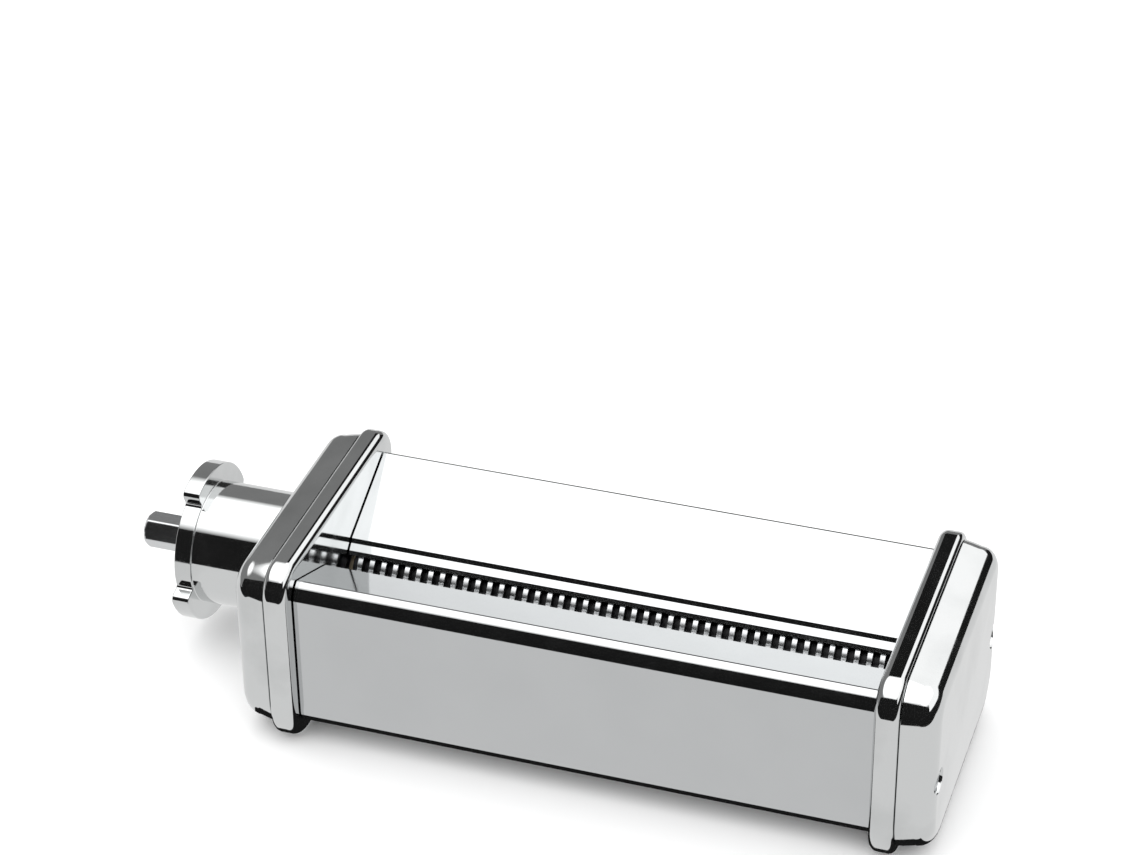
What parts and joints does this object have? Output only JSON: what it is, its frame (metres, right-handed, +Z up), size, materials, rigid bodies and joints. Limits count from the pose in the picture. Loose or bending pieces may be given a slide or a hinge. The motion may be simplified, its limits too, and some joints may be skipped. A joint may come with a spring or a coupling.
{
  "type": "pasta cutter attachment",
  "caption": "Chromed stand-mixer attachment with a feed trough over two geared, ringed cutting rollers and a hexagonal drive shaft in a lugged round hub.",
  "frame": {"origin": "centre of the bounding box in X and Y, at the lowest point of the two end frames", "axes": "+X from the hub to the far end along the rollers, +Y towards the back, which is the drive shaft's side, +Z up out of the feed trough"},
  "size_m": [0.209, 0.0706, 0.0496],
  "materials": {
    "chromed_sheet": "mirror chrome on pressed sheet",
    "chromed_casting": "bright chrome on cast metal",
    "polished_steel": "turned and polished",
    "spring_steel": "rolled strip",
    "zinc_plated_steel": "zinc plated",
    "bronze": "sintered bronze"
  },
  "bodies": {
    "housing": {"front_casing": "chromed_sheet", "rear_casing": "chromed_sheet", "hub_side_frame": "chromed_casting", "far_side_frame": "chromed_casting", "hub_side_cover": "chromed_casting", "far_side_cover": "chromed_casting", "hub_barrel": "chromed_casting", "hub_shaft_bush": "bronze", "hub_side_cover_screw_front": "zinc_plated_steel", "hub_side_cover_screw_rear": "zinc_plated_steel", "far_side_cover_screw_front": "zinc_plated_steel", "far_side_cover_screw_rear": "zinc_plated_steel", "hub_barrel_screw_1": "zinc_plated_steel", "hub_barrel_screw_2": "zinc_plated_steel", "hub_barrel_screw_3": "zinc_plated_steel", "front_tie_rod": "zinc_plated_steel", "rear_tie_rod": "zinc_plated_steel", "front_comb_rod": "zinc_plated_steel", "rear_comb_rod": "zinc_plated_steel", "front_tie_rod_nut": "zinc_plated_steel", "rear_tie_rod_nut": "zinc_plated_steel", "front_comb_rod_nut": "zinc_plated_steel", "rear_comb_rod_nut": "zinc_plated_steel", "hub_side_front_bush": "bronze", "hub_side_rear_bush": "bronze", "far_side_front_bush": "bronze", "far_side_rear_bush": "bronze", "front_comb": "spring_steel", "rear_comb": "spring_steel"},
    "rear_roller": {"drive_shaft": "polished_steel", "rear_cutting_roller": "polished_steel", "rear_gear": "polished_steel", "rear_gear_clip": "zinc_plated_steel", "rear_far_clip": "zinc_plated_steel"},
    "front_roller": {"front_roller_shaft": "polished_steel", "front_cutting_roller": "polished_steel", "front_gear": "polished_steel", "front_gear_clip": "zinc_plated_steel", "front_far_clip": "zinc_plated_steel"}
  },
  "joints": [
    {"name": "rear_roller_spin", "type": "hinge", "parent": "housing", "child": "rear_roller", "pos_m": [0.02045, 0.0092, 0.0231], "axis": [1, 0, 0], "continuous": true},
    {"name": "front_roller_spin", "type": "hinge", "parent": "housing", "child": "front_roller", "pos_m": [0.02045, -0.0092, 0.0231], "axis": [1, 0, 0], "continuous": true}
  ],
  "couplings": [
    {"joint": "front_roller_spin", "follows": "rear_roller_spin", "ratio": -1}
  ]
}
